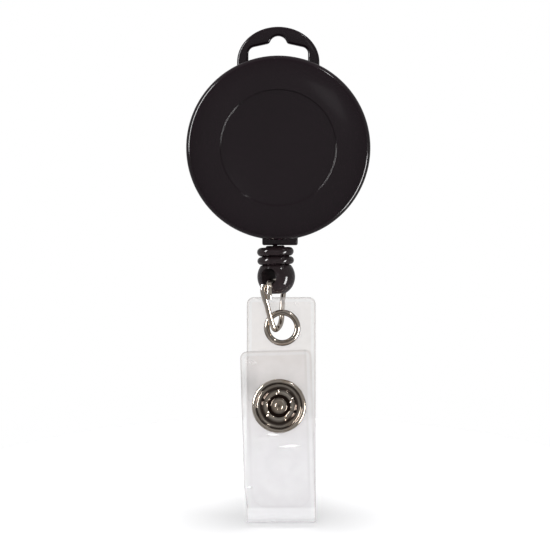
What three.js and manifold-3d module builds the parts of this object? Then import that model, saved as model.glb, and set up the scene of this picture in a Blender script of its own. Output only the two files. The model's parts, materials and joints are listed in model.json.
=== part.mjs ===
// Retractable badge reel, in millimetres. The front faces -Y and +Z is up. The origin is on the
// axis of the reel, at the rear face of the belt clip's plate, where a belt lies.
import * as THREE from "three";
import { mergeVertices } from "three/addons/utils/BufferGeometryUtils.js";
import Module from "manifold-3d";

const wasm = await Module();
wasm.setup();

// ---------- driving dimensions ----------
const CASE_RADIUS = 16; // front half
const REAR_RADIUS = 15.8; // rear half, just inside the front rim
const CASE_BACK = -0.7; // rear face of the case
const CASE_SPLIT = -6; // where the two halves meet
const CASE_FRONT = -10; // edge of the label recess, the highest line of the front
const CASE_WALL = 1;
const SEAM = 0.1; // gap of the two halves, and of pieces that touch
const RIM_FRONT = -9.25; // outer edge of the front, which slopes down from the recess
const RIM_ROUND = 1;
const LABEL_RADIUS = 10; // round recess for a 19 mm label
const LABEL_FLOOR = -9.6;

const HANGER_HALF_WIDTH = 7.19;
const HANGER_ARCH_Z = 15.06; // where the sides turn into the arch
const HANGER_ARCH_RISE = 6.16;
const HANGER_BACK = -1.6;
const HANGER_FRONT = -4.2;

const POST_RADIUS = 2.8; // the post that the spool turns on
const POST_FRONT = -8.1;
const RIVET_RADIUS = 1.2;
const RIVET_BORE = 1.35;
const WASHER_BORE = 2.05;
const WASHER_SEAT = -4.2; // step inside the post

const SPOOL_RADIUS = 13.6;
const HUB_RADIUS = 8.4;
const HUB_WALL = 0.6;
const SPOOL_BACK = -1.9;
const FLANGE = 0.6;
const CORD_Y = -3.8; // middle of the cord groove, and of the cord's exit
const GROOVE = 2.6;
const HUB_FRONT = -7.3;
const WINDING_RADIUS = 12;

const CORD_RADIUS = 0.4;
const EXIT_X = -0.54;
const EXIT_RADIUS = 0.7;
const NECK_LEFT = -2.8;
const NECK_RIGHT = 3.4;
const NECK_BOTTOM = -16.9;
const NECK_FRONT = -5.95;

const FITTING_TILT = THREE.MathUtils.degToRad(1.9); // the fitting hangs a little to one side
const RIB_RADIUS = 3.2;
const BALL_RADIUS = 3.3;
const BALL_DEPTH = 5.5; // centre of the ball, below the neck
const BALL_FLAT = 2.99; // from the centre down to the flat
const CROSS_RADIUS = 1.5;
const CROSS_TURN = THREE.MathUtils.degToRad(27); // of the cross hole, from front to back
const KNOT_RADIUS = 0.95;

const WIRE_RADIUS = 0.47;

const VINYL = 0.55;
const BACK_LEAF_Y = CORD_Y;
const FRONT_LEAF_Y = -7;
const STRAP_WIDTH = 12;
const STRAP_X = 0.52;
const STRAP_TOP = -25.96;
const FOLD_BOTTOM = -65.15;
const FLAP_TOP = -35.2;
const FLAP_WIDTH = 12.4;
const FLAP_X = -0.17;
const FLAP_TURN = THREE.MathUtils.degToRad(1.75);
const SPLIT_GAP = 0.15; // between the solids of one strip
const EYELET_X = 0.68;
const EYELET_Z = -31.3;
const EYELET_BORE = 2.15;
const EYELET_RADIUS = 3.17;
const SNAP_X = 0.12;
const SNAP_Z = -44.85;
const CAP_RADIUS = 4.7;

const CLIP_WIDTH = 11;
const CLIP_STEEL = 0.6;
const CLIP_BEND = 2.6; // radius of the middle of the steel at the bend
const CLIP_BEND_Z = 10.8;
const CLIP_BOTTOM = -9.5;

const FINE = 48; // segments of a full turn on the case
const SMALL = 28; // on small round pieces

// ---------- finishes ----------
const finish = (color, roughness, metalness) => ({ color, roughness, metalness });
const BLACK = finish(0x1b171a, 0.22, 0);
const NICKEL = finish(0xc9c2b8, 0.2, 1);
const STEEL = finish(0x9a9a98, 0.35, 1);
const CORD = finish(0x151515, 0.8, 0);
const CLEAR_VINYL = finish(0xe2e4e2, 0.35, 0);
const WHITE_PLASTIC = finish(0xd8d6d0, 0.45, 0);

// ---------- solids ----------
function merged(geometry) {
  const bare = geometry.clone();
  for (const name of Object.keys(bare.attributes)) {
    if (name !== "position") bare.deleteAttribute(name);
  }
  return mergeVertices(bare, 1e-4);
}

function signedVolume(vertices, triangles) {
  const a = new THREE.Vector3();
  const b = new THREE.Vector3();
  const c = new THREE.Vector3();
  let six = 0;
  for (let i = 0; i < triangles.length; i += 3) {
    a.fromArray(vertices, 3 * triangles[i]);
    b.fromArray(vertices, 3 * triangles[i + 1]);
    c.fromArray(vertices, 3 * triangles[i + 2]);
    six += a.dot(b.cross(c));
  }
  return six / 6;
}

// A closed solid from a three.js geometry, with its faces pointing out.
function solid(geometry) {
  const joined = merged(geometry);
  const vertices = new Float32Array(joined.attributes.position.array);
  const index = joined.index.array;
  const triangles = [];
  for (let i = 0; i < index.length; i += 3) {
    const [a, b, c] = [index[i], index[i + 1], index[i + 2]];
    if (a !== b && b !== c && c !== a) triangles.push(a, b, c);
  }
  if (signedVolume(vertices, triangles) < 0) triangles.reverse();
  const mesh = new wasm.Mesh({
    numProp: 3,
    vertProperties: vertices,
    triVerts: new Uint32Array(triangles),
  });
  return new wasm.Manifold(mesh);
}

function geometryOf(body) {
  const mesh = body.getMesh();
  const geometry = new THREE.BufferGeometry();
  geometry.setAttribute("position", new THREE.BufferAttribute(new Float32Array(mesh.vertProperties), 3));
  geometry.setIndex(new THREE.BufferAttribute(new Uint32Array(mesh.triVerts), 1));
  geometry.computeVertexNormals();
  return geometry;
}

// A ring or disc about the Y axis from [radius, y] corners; a ring's profile closes on itself.
function turned(profile, segments = SMALL, onAxis = false) {
  const points = profile.map(([radius, y]) => new THREE.Vector2(radius, y));
  if (!onAxis) points.push(points[0].clone());
  return solid(new THREE.LatheGeometry(points, segments));
}

const disc = (profile, segments) => turned(profile, segments, true);

// The [radius, y] points of a round corner.
function corner(radius, y, round, from, to, steps = 4) {
  const points = [];
  for (let i = 0; i <= steps; i++) {
    const angle = THREE.MathUtils.degToRad(from + ((to - from) * i) / steps);
    points.push([radius + round * Math.cos(angle), y + round * Math.sin(angle)]);
  }
  return points;
}

const outline = (points) => new THREE.Shape(points.map(([u, v]) => new THREE.Vector2(u, v)));

// A flat shape drawn in X and Z, from y = back to y = front.
function plate(shape, back, front, curveSegments = 6) {
  const depth = back - front;
  const geometry = new THREE.ExtrudeGeometry(shape, { depth, bevelEnabled: false, curveSegments });
  geometry.rotateX(Math.PI / 2);
  geometry.translate(0, back, 0);
  return solid(geometry);
}

function pin(radius, x, z, back, front, segments = SMALL) {
  const geometry = new THREE.CylinderGeometry(radius, radius, back - front, segments);
  geometry.translate(x, (back + front) / 2, z);
  return solid(geometry);
}

// A rectangle in X and Z with round corners.
function roundedRectangle(left, right, bottom, top, radius) {
  const shape = new THREE.Shape();
  shape.moveTo(left + radius, bottom);
  shape.lineTo(right - radius, bottom);
  shape.absarc(right - radius, bottom + radius, radius, -Math.PI / 2, 0);
  shape.lineTo(right, top - radius);
  shape.absarc(right - radius, top - radius, radius, 0, Math.PI / 2);
  shape.lineTo(left + radius, top);
  shape.absarc(left + radius, top - radius, radius, Math.PI / 2, Math.PI);
  shape.lineTo(left, bottom + radius);
  shape.absarc(left + radius, bottom + radius, radius, Math.PI, 1.5 * Math.PI);
  return shape;
}

// The outline of a strip of even thickness along a line.
function stripOutline(points, thickness) {
  const sides = [[], []];
  points.forEach(([u, v], i) => {
    const before = points[Math.max(i - 1, 0)];
    const after = points[Math.min(i + 1, points.length - 1)];
    const length = Math.hypot(after[0] - before[0], after[1] - before[1]);
    const normal = [-(after[1] - before[1]) / length, (after[0] - before[0]) / length];
    sides[0].push([u + (normal[0] * thickness) / 2, v + (normal[1] * thickness) / 2]);
    sides[1].unshift([u - (normal[0] * thickness) / 2, v - (normal[1] * thickness) / 2]);
  });
  return outline([...sides[0], ...sides[1]]);
}

// A bent strip from [y, z] points, centred on x = centre.
function bentStrip(points, thickness, width, centre = 0) {
  const shape = stripOutline(points, thickness);
  const geometry = new THREE.ExtrudeGeometry(shape, { depth: width, bevelEnabled: false });
  const alongX = new THREE.Matrix4().makeBasis(
    new THREE.Vector3(0, 1, 0),
    new THREE.Vector3(0, 0, 1),
    new THREE.Vector3(1, 0, 0),
  );
  geometry.applyMatrix4(alongX);
  geometry.translate(centre - width / 2, 0, 0);
  return solid(geometry);
}

function circleShape(radius, sides) {
  const points = [];
  for (let i = 0; i < sides; i++) {
    const angle = (2 * Math.PI * i) / sides;
    points.push([radius * Math.cos(angle), radius * Math.sin(angle)]);
  }
  return outline(points);
}

// A round tube along a smooth curve through points.
function tube(points, radius, steps, sides = 8) {
  const path = new THREE.CatmullRomCurve3(points.map((p) => new THREE.Vector3(...p)));
  path.curveType = "centripetal";
  const shape = circleShape(radius, sides);
  return solid(new THREE.ExtrudeGeometry(shape, { steps, extrudePath: path, bevelEnabled: false }));
}

function mesh(name, body, look) {
  const piece = new THREE.Mesh(geometryOf(body), new THREE.MeshStandardMaterial(look));
  piece.name = name;
  return piece;
}

// ---------- case ----------
// The hanger and the neck both start inside the wall of the dish.
const WALL_MIDDLE = REAR_RADIUS - 0.7;

function hangerOutline() {
  const start = Math.acos(HANGER_HALF_WIDTH / WALL_MIDDLE);
  const shape = new THREE.Shape();
  shape.absarc(0, 0, WALL_MIDDLE, Math.PI - start, start, true);
  shape.lineTo(HANGER_HALF_WIDTH, HANGER_ARCH_Z);
  shape.absellipse(0, HANGER_ARCH_Z, HANGER_HALF_WIDTH, HANGER_ARCH_RISE, 0, Math.PI);
  return shape;
}

// A slot with round, sloping shoulders and a notch in its middle that sits on a hook.
function hangerSlot() {
  const foot = 12;
  const halfWidth = 5.2;
  const shoulder = 1.2;
  const shoulderZ = 16.55;
  const shoulderTurn = THREE.MathUtils.degToRad(77.5);
  const flank = [1.95, 18.23];
  const bend = [1.565, 18.315];
  const notch = 1.55;
  const notchZ = 18.07;
  const notchStart = THREE.MathUtils.degToRad(20.7);
  const side = halfWidth - shoulder;
  const lip = [notch * Math.cos(notchStart), notchZ + notch * Math.sin(notchStart)];
  const shape = new THREE.Shape();
  shape.moveTo(halfWidth, foot);
  shape.lineTo(halfWidth, shoulderZ);
  shape.absarc(side, shoulderZ, shoulder, 0, shoulderTurn);
  shape.lineTo(...flank);
  shape.quadraticCurveTo(...bend, ...lip);
  shape.absarc(0, notchZ, notch, notchStart, Math.PI - notchStart);
  shape.quadraticCurveTo(-bend[0], bend[1], -flank[0], flank[1]);
  shape.lineTo(-side - shoulder * Math.cos(shoulderTurn), shoulderZ + shoulder * Math.sin(shoulderTurn));
  shape.absarc(-side, shoulderZ, shoulder, Math.PI - shoulderTurn, Math.PI);
  shape.lineTo(-halfWidth, foot);
  return shape;
}

function rearCase() {
  const floor = CASE_BACK - CASE_WALL;
  const wall = 1.3;
  const inner = REAR_RADIUS - wall;
  const backRound = 1.2;
  const neckRound = 0.35;
  const dish = disc(
    [
      [0, CASE_BACK],
      ...corner(REAR_RADIUS - backRound, CASE_BACK - backRound, backRound, 90, 0),
      [REAR_RADIUS, CASE_SPLIT],
      [inner, CASE_SPLIT],
      [inner, floor],
      [POST_RADIUS, floor],
      [POST_RADIUS, POST_FRONT],
      [0, POST_FRONT],
    ],
    FINE,
  );
  const hanger = plate(hangerOutline(), HANGER_BACK, HANGER_FRONT, 12)
    .subtract(plate(hangerSlot(), 0, CASE_SPLIT));
  const neckShape = roundedRectangle(NECK_LEFT, NECK_RIGHT, NECK_BOTTOM, -WALL_MIDDLE, neckRound);
  const neck = plate(neckShape, HANGER_BACK, NECK_FRONT, 2);
  const exit = new THREE.CylinderGeometry(EXIT_RADIUS, EXIT_RADIUS, 6, 12);
  exit.rotateX(Math.PI / 2);
  exit.translate(EXIT_X, CORD_Y, -16);
  const slotLeft = 0.8;
  const slotBack = -2.5;
  const slotFront = POST_FRONT - 1;
  const springSlot = new THREE.BoxGeometry(POST_RADIUS, slotBack - slotFront, 0.7);
  springSlot.translate(slotLeft + POST_RADIUS / 2, (slotBack + slotFront) / 2, 0);
  return dish
    .add(hanger)
    .add(neck)
    .subtract(pin(RIVET_BORE, 0, 0, 1, WASHER_SEAT - 1, 16))
    .subtract(pin(WASHER_BORE, 0, 0, WASHER_SEAT, POST_FRONT - 1, 16))
    .subtract(solid(exit))
    .subtract(solid(springSlot));
}

function frontCover() {
  const ceiling = LABEL_FLOOR + CASE_WALL;
  const inner = 13.9;
  const skirt = 14.3;
  const skirtBack = -5.2;
  return disc(
    [
      [0, LABEL_FLOOR],
      [LABEL_RADIUS, LABEL_FLOOR],
      [LABEL_RADIUS, CASE_FRONT],
      ...corner(CASE_RADIUS - RIM_ROUND, RIM_FRONT + RIM_ROUND, RIM_ROUND, -90, 0, 6),
      [CASE_RADIUS, CASE_SPLIT - SEAM],
      [skirt, CASE_SPLIT - SEAM],
      [skirt, skirtBack],
      [inner, skirtBack],
      [inner, ceiling],
      [0, ceiling],
    ],
    FINE,
  );
}

// ---------- spool ----------
const GROOVE_BACK = CORD_Y + GROOVE / 2;
const GROOVE_FRONT = CORD_Y - GROOVE / 2;
const KNOT_HOLE_X = 9.8;

function spool() {
  const bore = POST_RADIUS + 0.2;
  const flangeFront = GROOVE_FRONT - FLANGE;
  const chamber = HUB_RADIUS - HUB_WALL;
  const body = turned(
    [
      [bore, SPOOL_BACK],
      [SPOOL_RADIUS, SPOOL_BACK],
      [SPOOL_RADIUS, GROOVE_BACK],
      [HUB_RADIUS, GROOVE_BACK],
      [HUB_RADIUS, GROOVE_FRONT],
      [SPOOL_RADIUS, GROOVE_FRONT],
      [SPOOL_RADIUS, flangeFront],
      [HUB_RADIUS, flangeFront],
      [HUB_RADIUS, HUB_FRONT],
      [chamber, HUB_FRONT],
      [chamber, GROOVE_BACK],
      [bore, GROOVE_BACK],
    ],
    FINE,
  );
  return body.subtract(pin(0.6, KNOT_HOLE_X, 0, GROOVE_FRONT + 0.1, flangeFront - 0.1, 12));
}

function springCover() {
  const back = HUB_FRONT - SEAM;
  const front = back - 0.5;
  return turned(
    [
      [POST_RADIUS + 0.2, back],
      [HUB_RADIUS, back],
      [HUB_RADIUS, front],
      [POST_RADIUS + 0.2, front],
    ],
    36,
  );
}

// A flat spiral whose inner end is bent into the slot of the post.
function powerSpring() {
  const turns = 7;
  const start = POST_RADIUS + 0.45;
  const end = HUB_RADIUS - HUB_WALL - 0.25;
  const perTurn = 18;
  const points = [[2.15, 0]];
  for (let i = 0; i <= turns * perTurn; i++) {
    const angle = (2 * Math.PI * i) / perTurn;
    const radius = start + ((end - start) * i) / (turns * perTurn);
    points.push([radius * Math.cos(angle), radius * Math.sin(angle)]);
  }
  return plate(stripOutline(points, 0.18), GROOVE_BACK - 0.3, HUB_FRONT + 0.3);
}

function cordWinding() {
  const side = 0.15;
  return turned(
    [
      [HUB_RADIUS + side, GROOVE_BACK - side],
      [WINDING_RADIUS, GROOVE_BACK - side],
      [WINDING_RADIUS, GROOVE_FRONT + side],
      [HUB_RADIUS + side, GROOVE_FRONT + side],
    ],
    FINE,
  );
}

function ball(radius, x, y, z) {
  const geometry = new THREE.SphereGeometry(radius, 12, 8);
  geometry.translate(x, y, z);
  return solid(geometry);
}

function anchorKnot() {
  const tail = pin(CORD_RADIUS, KNOT_HOLE_X, 0, GROOVE_FRONT, GROOVE_FRONT - FLANGE - 0.8, 10);
  return ball(0.8, KNOT_HOLE_X, GROOVE_FRONT - FLANGE - 1, 0).add(tail);
}

// The cord leaves the winding along a tangent and turns down into the exit.
const FEED_END_Z = -14;

function cordFeed() {
  const lie = WINDING_RADIUS + CORD_RADIUS + 0.1;
  const distance = Math.hypot(EXIT_X, FEED_END_Z);
  const toExit = Math.atan2(EXIT_X, -FEED_END_Z);
  const tangent = toExit + Math.acos(lie / distance);
  const touch = [lie * Math.sin(tangent), CORD_Y, -lie * Math.cos(tangent)];
  return tube([touch, [EXIT_X, CORD_Y, FEED_END_Z]], CORD_RADIUS, 3);
}

// ---------- cord end and fitting, in the fitting's own frame: down is -Z from the neck ----------
function cordLead() {
  const top = 2.2;
  const bottom = -2.65; // on the knot
  const geometry = new THREE.CylinderGeometry(CORD_RADIUS, CORD_RADIUS, top - bottom, 10);
  geometry.rotateX(Math.PI / 2);
  geometry.translate(0, 0, (top + bottom) / 2);
  return solid(geometry);
}

function endFitting() {
  const noseTop = -0.08;
  const knotBoreRadius = 1.2;
  const knotBoreTop = -2.2;
  const core = 2.3;
  const ribs = [
    [-0.36, -1.92],
    [-2, -3.38],
  ];
  const profile = [[0, noseTop], [1.45, noseTop], [1.7, -0.3]];
  for (const [top, bottom] of ribs) {
    const half = (top - bottom) / 2;
    const section = corner(RIB_RADIUS - half, (top + bottom) / 2, half, 90, -90, 6);
    profile.push([core, top], ...section, [core, bottom]);
  }
  const ballTop = -3.5;
  const from = Math.asin((BALL_DEPTH + ballTop) / BALL_RADIUS);
  const to = -Math.asin(BALL_FLAT / BALL_RADIUS);
  const degrees = THREE.MathUtils.radToDeg;
  profile.push(...corner(0, -BALL_DEPTH, BALL_RADIUS, degrees(from), degrees(to), 10));
  profile.push([0, -BALL_DEPTH - BALL_FLAT]);
  const upright = new THREE.LatheGeometry(profile.map(([r, z]) => new THREE.Vector2(r, z)), 32);
  upright.rotateX(Math.PI / 2);
  const cross = new THREE.CylinderGeometry(CROSS_RADIUS, CROSS_RADIUS, 10, 20);
  cross.rotateZ(-CROSS_TURN);
  cross.translate(0, 0, -BALL_DEPTH);
  const cordHole = new THREE.CylinderGeometry(0.6, 0.6, 5, 12);
  cordHole.rotateX(Math.PI / 2);
  const boreLength = BALL_DEPTH + knotBoreTop;
  const knotBore = new THREE.CylinderGeometry(knotBoreRadius, knotBoreRadius, boreLength, 14);
  knotBore.rotateX(Math.PI / 2);
  knotBore.translate(0, 0, (knotBoreTop - BALL_DEPTH) / 2);
  return solid(upright)
    .subtract(solid(cross))
    .subtract(solid(cordHole))
    .subtract(solid(knotBore));
}

// ---------- wire link, in a frame whose Y runs along the cross hole; the ball's centre is 0 ----------
// Its front end overlaps the other end beside the front leg.
const LINK_ROUTE = [
  [0.7, -4.2, -3.9],
  [0.7, -4.3, -2.9],
  [0.6, -4.05, -1.7],
  [0.35, -3.3, -0.88],
  [0.2, -1.6, -0.8],
  [-0.2, 1.6, -0.8],
  [-0.35, 3.1, -0.88],
  [-0.45, 3.75, -1.8],
  [-0.47, 3.35, -3.3],
  [-0.42, 2.75, -4.9],
  [-0.3, 2.3, -6.6],
  [-0.1, 1.35, -8.1],
  [0, 0, -8.95],
  [0, -1.2, -9.15],
  [0, -2.05, -8.3],
  [-0.05, -3, -6.6],
  [-0.14, -3.75, -4.7],
  [-0.32, -4.25, -3.4],
  [-0.4, -4.5, -2.2],
  [-0.35, -4.32, -1.35],
];

const wireLink = () => tube(LINK_ROUTE, WIRE_RADIUS, 76);

// ---------- strap ----------
const FOLD_RADIUS = (BACK_LEAF_Y - FRONT_LEAF_Y) / 2;
const FOLD_Y = (BACK_LEAF_Y + FRONT_LEAF_Y) / 2;
const FOLD_Z = FOLD_BOTTOM + FOLD_RADIUS + VINYL / 2;
const BACK_LEAF_FRONT = BACK_LEAF_Y - VINYL / 2;
const FRONT_LEAF_BACK = FRONT_LEAF_Y + VINYL / 2;
const FRONT_LEAF_FRONT = FRONT_LEAF_Y - VINYL / 2;

function strapBackLeaf() {
  const left = STRAP_X - STRAP_WIDTH / 2;
  const right = STRAP_X + STRAP_WIDTH / 2;
  const round = 1.1;
  const shape = roundedRectangle(left, right, FOLD_Z - round, STRAP_TOP, round);
  const below = new THREE.BoxGeometry(2 * STRAP_WIDTH, 10, 10);
  below.translate(0, BACK_LEAF_Y, FOLD_Z + SPLIT_GAP - 5);
  return plate(shape, BACK_LEAF_Y + VINYL / 2, BACK_LEAF_FRONT, 4)
    .subtract(pin(EYELET_BORE + 0.6, EYELET_X, EYELET_Z, 0, -10, 24))
    .subtract(pin(1, SNAP_X, SNAP_Z, 0, -10, 16))
    .subtract(solid(below));
}

function strapFold() {
  const bend = corner(FOLD_Y, FOLD_Z, FOLD_RADIUS, 0, -180, 10);
  return bentStrip(bend, VINYL, STRAP_WIDTH, STRAP_X);
}

// The flap hangs a little askew, turned about the snap.
function strapFrontLeaf() {
  const left = FLAP_X - SNAP_X - FLAP_WIDTH / 2;
  const right = FLAP_X - SNAP_X + FLAP_WIDTH / 2;
  const bottom = FOLD_Z - SNAP_Z;
  const round = 1.4;
  const shape = roundedRectangle(left, right, bottom - 3, FLAP_TOP - SNAP_Z, round);
  const geometry = new THREE.ExtrudeGeometry(shape, { depth: VINYL, bevelEnabled: false, curveSegments: 4 });
  geometry.rotateX(Math.PI / 2);
  geometry.rotateY(-FLAP_TURN);
  geometry.translate(SNAP_X, FRONT_LEAF_BACK, SNAP_Z);
  const below = new THREE.BoxGeometry(3 * FLAP_WIDTH, 10, 10);
  below.translate(0, FRONT_LEAF_Y, FOLD_Z + SPLIT_GAP - 5);
  return solid(geometry)
    .subtract(solid(below))
    .subtract(pin(1.2, SNAP_X, SNAP_Z, 0, -10, 16));
}

function eyelet() {
  const roll = (EYELET_RADIUS - EYELET_BORE) / 2;
  const face = BACK_LEAF_FRONT - 0.05;
  const behind = BACK_LEAF_Y + VINYL / 2;
  return turned([
    [EYELET_BORE, behind + 0.65],
    [EYELET_BORE + 0.7, behind + 0.65],
    [EYELET_BORE + 0.7, behind + 0.4],
    [EYELET_BORE + 0.3, behind + 0.35],
    [EYELET_BORE + 0.3, face],
    ...corner(EYELET_BORE + roll, face - 0.1, roll, 0, -180, 8),
  ]);
}

function eyeletWasher() {
  const back = BACK_LEAF_Y + VINYL / 2 + 0.3;
  const front = back - 0.22;
  return turned([
    [EYELET_BORE + 0.45, back],
    [EYELET_RADIUS, back],
    [EYELET_RADIUS, front],
    [EYELET_BORE + 0.45, front],
  ]);
}

// ---------- snap ----------
function snapPost() {
  const front = BACK_LEAF_Y + VINYL / 2 + 0.05;
  return disc([
    [0, front + 0.45],
    [3.2, front + 0.45],
    [3.6, front + 0.2],
    [3.6, front],
    [0.75, front],
    [0.75, -5],
    [0, -5],
  ]);
}

function snapStud() {
  const back = BACK_LEAF_FRONT - 0.05;
  return disc([
    [0.95, back],
    [3.7, back],
    [3.7, back - 0.35],
    [1.8, back - 0.4],
    [1.75, back - 0.8],
    [2, -5.4],
    [1.7, -5.95],
    [0, -5.95],
    [0, -5.2],
    [0.95, -5.2],
    [0.95, back],
  ]);
}

function snapSocket() {
  const front = FRONT_LEAF_BACK + 0.05;
  const back = -4.7;
  return turned([
    [1.25, front],
    [4.2, front],
    [4.2, front + 0.4],
    [3.4, front + 0.6],
    [3.4, back],
    [2.3, back],
    [2.3, -5.15],
    [2.85, -5.15],
    [2.85, -5.75],
    [2.3, -5.75],
    [2.3, -6.2],
    [1.25, -6.2],
  ]);
}

function snapRingSpring() {
  const points = [];
  for (let i = 0; i <= 20; i++) {
    const angle = THREE.MathUtils.degToRad(20 + 16 * i);
    points.push([2.5 * Math.cos(angle), -5.45, 2.5 * Math.sin(angle)]);
  }
  return tube(points, 0.2, 30, 6);
}

// A rolled rim, a valley, an inner ring, a deep well and a button with a dimple.
function snapCap() {
  const back = FRONT_LEAF_FRONT - 0.05;
  const rim = 0.42;
  return disc([
    [0, -6.5],
    [1, -6.5],
    [1, back],
    [CAP_RADIUS - 0.1, back],
    ...corner(CAP_RADIUS - rim, back - 0.45, rim, 0, -150, 5),
    [3.4, back - 0.3],
    [2.75, back - 0.75],
    [2.35, back - 0.75],
    [1.95, back - 0.25],
    [1.6, back - 0.25],
    [1.3, back - 0.72],
    [0.6, back - 0.8],
    [0, back - 0.55],
  ]);
}

// ---------- belt clip ----------
const PLATE_Y = -CLIP_STEEL / 2;
const BEND_Y = PLATE_Y + CLIP_BEND;
const TONGUE_Y = PLATE_Y + 2 * CLIP_BEND;

function clipPlate() {
  const bend = corner(BEND_Y, CLIP_BEND_Z, CLIP_BEND, 180, 0, 12);
  return bentStrip([[PLATE_Y, CLIP_BOTTOM], ...bend], CLIP_STEEL, CLIP_WIDTH)
    .subtract(pin(RIVET_BORE, 0, 0, 1, -2, 16));
}

// The tongue runs down behind the belt, pinches in near its end and flares out at the tip.
function clipTongue() {
  const points = [
    [TONGUE_Y, CLIP_BEND_Z - SPLIT_GAP],
    [TONGUE_Y, -2],
    [TONGUE_Y - 0.5, -5],
    [TONGUE_Y - 1.9, -7.8],
    [1.25, -10],
    [0.95, -10.8],
    [1.15, -11.6],
    [2, -13],
  ];
  return bentStrip(points, CLIP_STEEL, CLIP_WIDTH - 1);
}

function clipRivet() {
  return disc([
    [0, 0.62],
    [1.4, 0.55],
    [2.1, 0.3],
    [2.3, 0.05],
    [RIVET_RADIUS, 0.05],
    [RIVET_RADIUS, WASHER_SEAT - 0.6],
    [1.75, WASHER_SEAT - 0.65],
    [1.5, WASHER_SEAT - 1.1],
    [0, WASHER_SEAT - 1.2],
  ]);
}

function rivetWasher() {
  return turned([
    [RIVET_BORE, WASHER_SEAT - 0.06],
    [1.85, WASHER_SEAT - 0.06],
    [1.85, WASHER_SEAT - 0.5],
    [RIVET_BORE, WASHER_SEAT - 0.5],
  ]);
}

// ---------- assembly ----------
const reel = new THREE.Group();
reel.add(
  mesh("rear_case", rearCase(), BLACK),
  mesh("front_cover", frontCover(), BLACK),
  mesh("clip_plate", clipPlate(), STEEL),
  mesh("clip_tongue", clipTongue(), STEEL),
  mesh("clip_rivet", clipRivet(), NICKEL),
  mesh("rivet_washer", rivetWasher(), STEEL),
  mesh("spool", spool(), WHITE_PLASTIC),
  mesh("spring_cover", springCover(), WHITE_PLASTIC),
  mesh("power_spring", powerSpring(), STEEL),
  mesh("cord_winding", cordWinding(), CORD),
  mesh("cord_anchor_knot", anchorKnot(), CORD),
  mesh("cord_feed", cordFeed(), CORD),
);

const hanging = new THREE.Group();
hanging.position.set(EXIT_X, CORD_Y, NECK_BOTTOM);
hanging.rotation.y = -FITTING_TILT;
const knot = mesh("cord_end_knot", ball(KNOT_RADIUS, 0, 0, -3.75), CORD);
hanging.add(mesh("cord_lead", cordLead(), CORD), knot, mesh("end_fitting", endFitting(), BLACK));

const link = new THREE.Group();
link.position.z = -BALL_DEPTH;
link.rotation.z = -CROSS_TURN;
link.add(mesh("wire_link", wireLink(), NICKEL));
hanging.add(link);
reel.add(hanging);

const strap = new THREE.Group();
strap.add(
  mesh("strap_back_leaf", strapBackLeaf(), CLEAR_VINYL),
  mesh("strap_fold", strapFold(), CLEAR_VINYL),
  mesh("strap_front_leaf", strapFrontLeaf(), CLEAR_VINYL),
);
const eyeletRing = mesh("eyelet", eyelet(), NICKEL);
const eyeletBack = mesh("eyelet_washer", eyeletWasher(), NICKEL);
for (const piece of [eyeletRing, eyeletBack]) {
  piece.position.set(EYELET_X, 0, EYELET_Z);
  strap.add(piece);
}
const snapPieces = [
  mesh("snap_post", snapPost(), NICKEL),
  mesh("snap_stud", snapStud(), NICKEL),
  mesh("snap_socket", snapSocket(), NICKEL),
  mesh("snap_ring_spring", snapRingSpring(), STEEL),
  mesh("snap_cap", snapCap(), NICKEL),
];
for (const piece of snapPieces) {
  piece.position.set(SNAP_X, 0, SNAP_Z);
  strap.add(piece);
}
reel.add(strap);

export default reel;
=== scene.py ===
# %% [markdown]
# # A retractable badge reel
# The reel is a round plastic case with a cord inside that winds itself up on a spring. A ribbed
# fitting hangs from the cord, a bent wire link hangs from the fitting, and a folded strip of clear
# vinyl hangs from the link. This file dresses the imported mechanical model: it keeps its places and
# its joints, and makes the finished surfaces of every piece.

# %% Load the frame
import json
import math

import bmesh
import bpy
from mathutils import Matrix, Vector


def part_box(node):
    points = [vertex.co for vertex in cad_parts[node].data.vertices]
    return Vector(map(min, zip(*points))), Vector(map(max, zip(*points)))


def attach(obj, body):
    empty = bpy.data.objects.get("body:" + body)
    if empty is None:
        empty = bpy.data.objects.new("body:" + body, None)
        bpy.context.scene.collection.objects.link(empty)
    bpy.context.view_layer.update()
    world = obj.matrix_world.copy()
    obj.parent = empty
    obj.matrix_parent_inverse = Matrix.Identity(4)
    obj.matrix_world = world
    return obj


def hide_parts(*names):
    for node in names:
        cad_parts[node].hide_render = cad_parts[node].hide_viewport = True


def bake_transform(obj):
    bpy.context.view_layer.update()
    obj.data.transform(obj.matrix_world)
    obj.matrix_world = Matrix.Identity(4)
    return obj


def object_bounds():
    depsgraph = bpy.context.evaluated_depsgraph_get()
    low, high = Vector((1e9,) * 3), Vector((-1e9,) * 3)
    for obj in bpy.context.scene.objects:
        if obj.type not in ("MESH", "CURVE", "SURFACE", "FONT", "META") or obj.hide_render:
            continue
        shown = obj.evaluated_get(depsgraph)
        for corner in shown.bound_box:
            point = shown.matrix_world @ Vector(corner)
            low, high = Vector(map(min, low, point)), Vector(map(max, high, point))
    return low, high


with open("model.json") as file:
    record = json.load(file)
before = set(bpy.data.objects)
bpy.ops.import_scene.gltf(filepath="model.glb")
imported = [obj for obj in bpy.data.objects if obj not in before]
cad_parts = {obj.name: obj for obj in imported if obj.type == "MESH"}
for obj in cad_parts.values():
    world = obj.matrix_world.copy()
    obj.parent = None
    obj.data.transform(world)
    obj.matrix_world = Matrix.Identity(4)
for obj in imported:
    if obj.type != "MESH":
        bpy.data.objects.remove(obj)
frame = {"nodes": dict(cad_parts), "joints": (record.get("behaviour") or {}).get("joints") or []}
cad_box = [list(corner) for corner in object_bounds()]
MM = 0.001
joints = {joint["name"]: joint for joint in frame["joints"]}


def low(node):
    return Vector(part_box(node)[0])


def high(node):
    return Vector(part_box(node)[1])


def middle(node):
    return (low(node) + high(node)) / 2


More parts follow.
